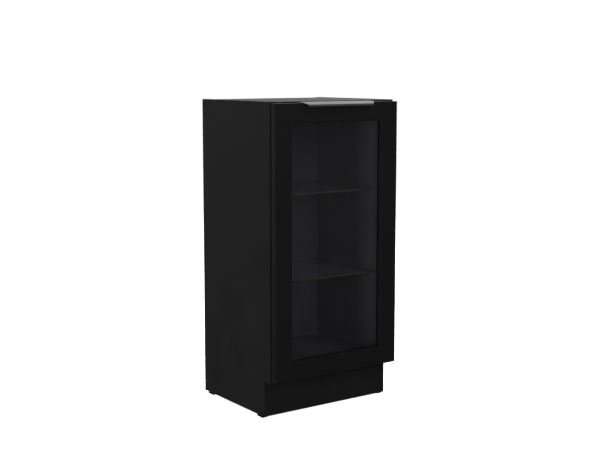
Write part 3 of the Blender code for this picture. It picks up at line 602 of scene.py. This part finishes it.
# ---------------------------------------------------------------- door
def door_edge_rings(low, high, radius, front, back):
    """The frame's section as nested outlines: outer edges, rear rabbet, reveal and window edge."""
    cosine, sine = quarter_round(radius, 0, 90, CORNER_STEPS)
    window = GLASS_LOW[[0, 2]] + GLASS_LAP, GLASS_HIGH[[0, 2]] - GLASS_LAP
    rabbet = GLASS_LOW[[0, 2]] - GLASS_PLAY, GLASS_HIGH[[0, 2]] + GLASS_PLAY
    seat = GLASS_LOW[1] - GLASS_PLAY
    outwards = list(zip(cosine, sine))
    inwards = outwards[::-1]
    rings = [(low + radius - s, high - radius + s, s, front + radius - c) for c, s in outwards]
    rings += [(low + radius - s, high - radius + s, s, back - radius + c) for c, s in inwards]
    rings += [(*rabbet, 0, back), (*rabbet, 0, seat), (*window, 0, seat)]
    rings += [
        (window[0] - radius + s, window[1] + radius - s, 0, front + radius - c)
        for c, s in inwards
    ]
    for ring_low, ring_high, corner, depth in rings:
        across, up = rectangle(ring_low, ring_high, corner)
        yield np.stack([across, np.full_like(across, depth), up], -1)


def bore(target, start, direction, radius, depth):
    """Takes a round bore out of a piece, and applies it: a radius carried round its axis."""
    profile = [(0, depth, 0), (radius, depth, 0), (radius, 0, 0), (0, 0, 0)]
    points, faces = turned_points(profile)
    tool = closed_shape("bore", aimed(points, direction, start), faces)
    cut = target.modifiers.new("bore", "BOOLEAN")
    cut.operation = "DIFFERENCE"
    cut.solver = "EXACT"
    cut.object = tool
    target.modifiers.move(len(target.modifiers) - 1, 0)
    with bpy.context.temp_override(object=target, active_object=target):
        bpy.ops.object.modifier_apply(modifier="bore")
    bpy.data.objects.remove(tool, do_unlink=True)


def lacquered_door():
    """The routed frame, and the bores behind its hinge cups."""
    low, high = DOOR_LOW[[0, 2]], DOOR_HIGH[[0, 2]]
    rings = np.stack(list(door_edge_rings(low, high, DOOR_EDGE, DOOR_LOW[1], DOOR_HIGH[1])))
    rows, columns = rings.shape[:2]
    faces = quads(rows, columns, close_rows=True, close_columns=True)
    door = make_piece("lacquered_door", rings, faces, LACQUER, "door", ["door_frame"])
    for level in ("lower", "upper"):
        cup = middle(f"hinge_cup_{level}")
        start = (cup[0], DOOR_HIGH[1] - CUP_DEPTH - CUP_PLAY, cup[2])
        bore(door, start, (0, 1, 0), CUP_RADIUS + CUP_PLAY, CUP_DEPTH + BORE_BEYOND)
    door.data.set_sharp_from_angle(angle=math.radians(CREASE))


def door_pane():
    """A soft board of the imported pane's own size."""
    points, faces = soft_board(GLASS_LOW, GLASS_HIGH, PANE_EDGE)
    make_piece("door_pane", points, faces, DOOR_PANE, "door", ["door_glass"])


def edge_handle():
    """Sheet bent down the door's back, over its top, sloping to a lip, its ends cut on the skew."""
    low, high = corners("handle_pull")
    half = SHEET / 2
    bend = DOOR_LOW[1] - GLASS_PLAY
    line = rounded_line(
        [
            (high[1] - half, low[2]),
            (high[1] - half, high[2] - half),
            (bend, high[2] - half),
            (low[1] + half, high[2] - HANDLE_DROP - half),
            (low[1] + half, high[2] - HANDLE_DROP - HANDLE_LIP),
        ],
        (HANDLE_BEND, HANDLE_SLOPE_BEND, HANDLE_BEND),
    )

    def reach(side):
        return high[0] - HANDLE_END_INSET * np.maximum(DOOR_LOW[1] - side[:, 0], 0) / HANDLE_REACH

    points, faces = bent_sheet(line, SHEET, lambda side: -reach(side), reach)
    points = points[..., [2, 0, 1]]
    make_piece("edge_handle", points, faces, ALUMINIUM, "door", ["handle_pull"], HANDLE_ARRIS)


def door_bumpers():
    """Domed buttons: the radius falls by a quarter of an ellipse towards the tip."""
    for level in ("lower", "upper"):
        low, high = corners(f"door_bumper_{level}")
        radius, height = (high[0] - low[0]) / 2, high[1] - low[1]
        turn = np.linspace(0, np.pi / 2, 9)
        rise = BUMPER_SKIRT + (1 - BUMPER_SKIRT) * np.cos(turn)
        dome = [(radius * math.sin(t), height * share, 0) for t, share in zip(turn, rise)]
        points, faces = turned_points(dome + [(radius, BUMPER_FOOT, 0), (radius * 0.95, 0, 0), (0, 0, 0)])
        place = ((low[0] + high[0]) / 2, low[1], (low[2] + high[2]) / 2)
        name = f"clear_bumper_{level}"
        nodes = [f"door_bumper_{level}"]
        make_piece(name, aimed(points, (0, 1, 0), place), faces, BUMPER, "door", nodes)


# ---------------------------------------------------------------- shelves
def glass_shelves():
    """Each shelf's faces are clear, and its polished edges green."""
    for level in ("lower", "upper"):
        low, high = corners(f"glass_shelf_{level}")
        points, faces = soft_board(low, high, SHELF_ARRIS)
        name = f"clear_shelf_{level}"
        nodes = [f"glass_shelf_{level}"]
        shelf = make_piece(name, points, faces, SHELF_FACE, "carcass", nodes)
        shelf.data.materials.append(SHELF_EDGE)
        normals = np.zeros(len(shelf.data.polygons) * 3)
        shelf.data.polygons.foreach_get("normal", normals)
        edge = abs(normals.reshape(-1, 3)[:, 2]) < 0.9
        shelf.data.polygons.foreach_set("material_index", edge.astype(int))


def shelf_pins():
    """A turned pin: a thinner shank in the side, and a head with a rounded end under the glass."""
    for level in ("lower", "upper"):
        for end in ("front", "rear"):
            for side, inward in (("left", 1), ("right", -1)):
                node = f"shelf_pin_{level}_{end}_{side}"
                low, high = corners(node)
                radius = (high[2] - low[2]) / 2
                length = high[0] - low[0]
                round_radius, round_height = radius - SHELF_PIN_TIP, length - SHELF_PIN_TIP
                cosine, sine = quarter_round(SHELF_PIN_TIP, 0, 90, 6)
                neck, chamfer = length - SHELF_PIN_HEAD, SHELF_PIN_CHAMFER
                shank, end_radius = radius * SHELF_PIN_SHANK, radius * SHELF_PIN_END
                profile = [(0, length, 0)]
                profile += [(round_radius + s, round_height + c, 0) for c, s in zip(cosine, sine)]
                profile += [(radius, neck + chamfer, 0), (radius - chamfer, neck, 0)]
                profile += [(shank, neck, 0), (shank, chamfer, 0), (end_radius, 0, 0), (0, 0, 0)]
                points, faces = turned_points(profile)
                start = low[0] if inward > 0 else high[0]
                place = (start, (low[1] + high[1]) / 2, (low[2] + high[2]) / 2)
                points = aimed(points, (inward, 0, 0), place)
                make_piece(f"steel_{node}", points, faces, PIN_STEEL, "carcass", [node])


def cam_nuts():
    """A cast cam flush with the board: a rim, a sunk face and a driver's cross."""
    for board in ("top", "bottom"):
        for end in ("front", "rear"):
            for side in ("left", "right"):
                node = f"cam_lock_{board}_{end}_{side}"
                low, high = corners(node)
                radius, height = (high[0] - low[0]) / 2, high[2] - low[2]
                shares = np.linspace(0, CAM_FACE, 25)
                profile = [(radius * share, height - CAM_SUNK, CAM_CROSS_DEPTH) for share in shares]
                profile += [(radius * CAM_RIM_START, height, 0), (radius - CAM_RIM, height, 0)]
                profile += [(radius, height - CAM_RIM, 0), (radius, 0, 0), (0, 0, 0)]
                cross = cross_recess(radius * CAM_CROSS, CAM_CROSS_WIDTH, CAM_CROSS_SLOPE)
                points, faces = turned_points(profile, cross, CROSS_ROUND)
                place = ((low[0] + high[0]) / 2, (low[1] + high[1]) / 2, high[2])
                points = aimed(points, (0, 0, -1), place)
                make_piece(f"cast_{node}", points, faces, ZINC, "carcass", [node])


# ---------------------------------------------------------------- hinges
def driven_screw(node, direction, body, head_height, proud=0.0):
    """A screw with a domed head and a driver's cross; the dome falls with the square of the radius."""
    low, high = corners(node)
    axis = int(np.argmax(np.abs(direction)))
    others = [index for index in range(3) if index != axis]
    radius = (high[others[0]] - low[others[0]]) / 2
    length = high[axis] - low[axis]
    share = np.linspace(0, 1, 25)
    top = length + proud
    head = [(radius * s, top - SCREW_DOME * head_height * s * s, SCREW_CROSS * head_height) for s in share]
    under = length - head_height
    shank = radius * SCREW_SHANK
    profile = head + [(radius, under + 0.1 * head_height, 0), (radius * 0.97, under, 0), (shank, under, 0)]
    profile += [(shank, shank, 0), (0, 0, 0)]
    cross = cross_recess(*[radius * part for part in SCREW_BARS])
    points, faces = turned_points(profile, cross, CROSS_ROUND)
    place = (low + high) / 2
    place[axis] = low[axis] if direction[axis] > 0 else high[axis]
    points = aimed(points, direction, place)
    make_piece(f"driven_{node}", points, faces, NICKEL, body, [node])


def cup_distance(x, y):
    """Signed distance to the cup's flange: a disc joined with a plate that carries the two ears."""
    middle_y, half_y = (CUP_RIM - CUP_EAR_START) / 2, (CUP_RIM + CUP_EAR_START) / 2
    plate = soft_box_distance(x, y - middle_y, CUP_EAR, half_y, CUP_EAR_CORNER)
    return np.minimum(np.hypot(x, y) - CUP_RIM, plate)


def pressed_cup(level):
    """A pressed bowl whose rim turns out into a flange: the radius is a share of the flange's outline.

    Each row is (fixed radius, share of the outline, height), from the bowl's floor to the flange and back.
    """
    node = f"hinge_cup_{level}"
    low, high = corners(node)
    angle = np.linspace(0, 2 * np.pi, 192, endpoint=False)
    outline = outline_radius(cup_distance, angle, OUTLINE_REACH)
    inner, outer = CUP_RADIUS - CUP_WALL, CUP_RADIUS
    top = high[1] - low[1]
    floor, fillet, edge = CUP_WALL, CUP_FILLET, FLANGE / 3
    cosine, sine = quarter_round(fillet, 0, 90, 6)
    rows = [(0, 0, floor)]
    rows += [(inner - fillet + s, 0, floor + fillet - c) for c, s in zip(cosine, sine)]
    rows += [(inner + out, 0, top - down) for out, down in CUP_MOUTH]
    rows += [(-edge, 1, top), (-edge * 0.3, 1, top - edge * 0.3), (0, 1, top - edge), (0, 1, top - FLANGE)]
    rows += [(outer, 0, top - FLANGE)]
    rows += [(outer - fillet + s, 0, fillet - c) for c, s in zip(cosine[::-1], sine[::-1])]
    rows += [(0, 0, 0)]
    fixed, share, height = np.array(rows).T[:, :, None]
    radius = fixed + share * outline
    points = np.stack([radius * np.cos(angle), radius * np.sin(angle), height + 0 * radius], -1)
    faces = quads(len(rows), len(angle), close_columns=True)
    centre = middle(node)
    points = aimed(points, (0, 1, 0), (centre[0], low[1], centre[2]))
    make_piece(f"pressed_{node}", points, faces, NICKEL, "door", [node])


def plate_distance(x, y):
    """Signed distance to the mounting plate: a long tongue joined with its two wings."""
    tongue = soft_box_distance(x, y, *PLATE_TONGUE)
    wings = soft_box_distance(x - PLATE_WING_SHIFT, y, *PLATE_WINGS)
    return np.minimum(tongue, wings)


def mounting_plate(level):
    """A flat plate cut to an outline, its upper edge rounded: each row is the outline less an inset."""
    node = f"hinge_plate_{level}"
    low, high = corners(node)
    angle = np.linspace(0, 2 * np.pi, 288, endpoint=False)
    outline = outline_radius(plate_distance, angle, OUTLINE_REACH)
    top, edge = high[0] - low[0], PLATE_EDGE
    cosine, sine = quarter_round(edge, 0, 90, 4)
    rows = [(1, -edge + s, top - edge + c) for c, s in zip(cosine, sine)]
    rows = [(0, 0, top), *rows, (1, 0, 0), (0, 0, 0)]
    share, inset, height = np.array(rows).T[:, :, None]
    radius = share * outline + inset
    points = np.stack([radius * np.cos(angle), radius * np.sin(angle), height + 0 * radius], -1)
    faces = quads(len(rows), len(angle), close_columns=True)
    points = aimed(points, (1, 0, 0), (low[0], middle(node)[1], middle(node)[2]))
    make_piece(f"cast_{node}", points, faces, NICKEL, "carcass", [node])


def hinge_pin(level):
    """A turned pin, its upper edge a quarter round and its lower one a chamfer."""
    node = f"hinge_pin_{level}"
    low, high = corners(node)
    radius, length = (high[0] - low[0]) / 2, high[2] - low[2]
    edge = HINGE_PIN_EDGE
    cosine, sine = quarter_round(edge, 0, 90, 4)
    profile = [(0, length, 0)] + [(radius - edge + s, length - edge + c, 0) for c, s in zip(cosine, sine)]
    profile += [(radius, edge, 0), (radius - edge, 0, 0), (0, 0, 0)]
    points, faces = turned_points(profile, columns=32)
    points = aimed(points, (0, 0, 1), (middle(node)[0], middle(node)[1], low[2]))
    make_piece(f"turned_{node}", points, faces, NICKEL, "door", [node])


def hinges_and_screws():
    """Both hinges with their screws, and the handle's two screws."""
    for level in ("lower", "upper"):
        pressed_cup(level)
        mounting_plate(level)
        hinge_pin(level)
        driven_screw(f"hinge_arm_screw_{level}", (1, 0, 0), "carcass", ARM_SCREW_HEAD)
        for end in ("bottom", "top"):
            driven_screw(f"hinge_cup_screw_{level}_{end}", (0, 1, 0), "door", CUP_SCREW_HEAD)
            node = f"hinge_plate_screw_{level}_{end}"
            driven_screw(node, (1, 0, 0), "carcass", PLATE_SCREW_HEAD, PLATE_SCREW_PROUD)
    for side in ("left", "right"):
        node = f"handle_screw_{side}"
        driven_screw(node, (0, 1, 0), "door", HANDLE_SCREW_HEAD, HANDLE_SCREW_PROUD)


# ---------------------------------------------------------------- studio
CAMERA_PLACE = (-1.7289, -2.4556, 0.8999)
CAMERA_YAW = 35.106
CAMERA_PITCH = 6.5
CAMERA_LENS = 66.27
CAMERA_SHIFT = -0.047


def studio_camera():
    """A level-eyed view from the left front, turned right and a little down."""
    camera = bpy.data.cameras.new("studio_camera")
    camera.sensor_width = 36
    camera.lens = CAMERA_LENS
    camera.shift_y = CAMERA_SHIFT
    camera.clip_end = 200
    holder = bpy.data.objects.new("studio_camera", camera)
    holder.location = CAMERA_PLACE
    holder.rotation_euler = (math.radians(90 - CAMERA_PITCH), 0, math.radians(-CAMERA_YAW))
    bpy.context.scene.collection.objects.link(holder)
    bpy.context.scene.camera = holder


FLOOR_RADIUS = 60.0
FLOOR_GLOW = 0.85


def pale_floor():
    """A wide, round, pale floor that glows a little, so that it stays near white with a faint shadow."""
    angle = np.linspace(0, 2 * np.pi, 64, endpoint=False)
    radius = np.array([0.0, FLOOR_RADIUS])[:, None]
    points = np.stack([radius * np.cos(angle), radius * np.sin(angle), 0 * radius * angle], -1)
    mesh = bpy.data.meshes.new("pale_floor")
    mesh.from_pydata(points.reshape(-1, 3).tolist(), [], quads(2, 64, close_columns=True).tolist())
    floor = bpy.data.objects.new("pale_floor", mesh)
    bpy.context.scene.collection.objects.link(floor)
    paint = new_finish("floor_paint", (240, 240, 240), 0.9, specular=0.0)
    shader = paint.node_tree.nodes["Principled BSDF"]
    shader.inputs["Emission Color"].default_value = (1, 1, 1, 1)
    shader.inputs["Emission Strength"].default_value = FLOOR_GLOW
    mesh.materials.append(paint)
    floor.visible_diffuse = False
    floor.visible_glossy = False
    floor.visible_shadow = False


CABINET_MIDDLE = (0, 0, 0.42)
SOFT_BOX = 1.6                # side of each soft box


def soft_lamp(name, place, power, target=CABINET_MIDDLE):
    """A square soft box that points from its place at a target, and that nothing mirrors."""
    light = bpy.data.lights.new(name, "AREA")
    light.shape = "SQUARE"
    light.size = SOFT_BOX
    light.energy = power
    holder = bpy.data.objects.new(name, light)
    holder.location = place
    aim = np.array(target) - np.array(place)
    holder.rotation_euler = Vector(aim).to_track_quat("-Z", "Y").to_euler()
    holder.visible_glossy = False
    bpy.context.scene.collection.objects.link(holder)


SKY_BELOW = 0.035             # strength that the whole dome has, below the horizon too
SKY_FRONT, SKY_BACK = 0.07, 1.37  # what comes on top of it, away from the white wall and towards it
SKY_HORIZON = (-0.28, 0.0)    # heights between which the dome comes up
SKY_FADE = (0.05, 0.8)        # heights between which it falls to its share overhead
SKY_TOP_SHARE = 0.4           # strength overhead, as a share of that at the horizon
WALL_WAY = (0.6, 0.8)         # the way to the white wall's middle, across and back
WALL_EDGE = (0.3, 0.9)        # cosines of the angles to that way between which the wall comes up
BACKDROP_WHITE = 1.05         # strength of the plain white that the camera sees


def studio_sky():
    """A soft dome, brighter at the back where the white wall stands, and plain white behind the object."""
    world = bpy.data.worlds.new("studio")
    world.use_nodes = True
    nodes, links = world.node_tree.nodes, world.node_tree.links

    where = nodes.new("ShaderNodeTexCoord")
    split = nodes.new("ShaderNodeSeparateXYZ")
    links.new(where.outputs["Generated"], split.inputs["Vector"])
    above = spread(world, split.outputs["Z"], 0.0, 1.0, *SKY_HORIZON, eased=True)
    fade = spread(world, split.outputs["Z"], 1.0, SKY_TOP_SHARE, *SKY_FADE, eased=True)
    aside = figure(world, "MULTIPLY", split.outputs["X"], WALL_WAY[0])
    ahead = figure(world, "MULTIPLY", split.outputs["Y"], WALL_WAY[1])
    towards_wall = figure(world, "ADD", aside, ahead)
    wall = spread(world, towards_wall, SKY_FRONT, SKY_BACK, *WALL_EDGE, eased=True)
    strength = figure(world, "MULTIPLY", figure(world, "MULTIPLY", above, fade), wall)
    dome = nodes["Background"]
    dome.inputs["Color"].default_value = (1, 1, 1, 1)
    links.new(figure(world, "ADD", strength, SKY_BELOW), dome.inputs["Strength"])
    white = nodes.new("ShaderNodeBackground")
    white.inputs["Color"].default_value = (1, 1, 1, 1)
    white.inputs["Strength"].default_value = BACKDROP_WHITE
    ray = nodes.new("ShaderNodeLightPath")
    mix = nodes.new("ShaderNodeMixShader")
    links.new(ray.outputs["Is Camera Ray"], mix.inputs["Fac"])
    links.new(dome.outputs["Background"], mix.inputs[1])
    links.new(white.outputs["Background"], mix.inputs[2])
    links.new(mix.outputs["Shader"], nodes["World Output"].inputs["Surface"])
    bpy.context.scene.world = world


def studio():
    """The plain studio: camera, floor, dome and soft boxes."""
    bpy.context.scene.view_settings.view_transform = "Standard"
    studio_camera()
    pale_floor()
    studio_sky()
    soft_lamp("left_box", (-4.0, -1.2, 0.3), 190)
    soft_lamp("camera_box", (-2.5, -3.5, 1.3), 54)
    soft_lamp("front_box", (0.0, -4.2, 1.4), 44)
    soft_lamp("overhead_box", (-0.3, -1.9, 2.2), 27)
    soft_lamp("right_box", (4.0, 0.9, 0.9), 170)
    soft_lamp("ceiling_box", (0.2, 0.8, 3.4), 130, target=(0, 0.2, 0.8))


# ---------------------------------------------------------------- making
studio()
finish_packed_parts()
lacquered_door()
door_pane()
edge_handle()
door_bumpers()
glass_shelves()
shelf_pins()
cam_nuts()
hinges_and_screws()
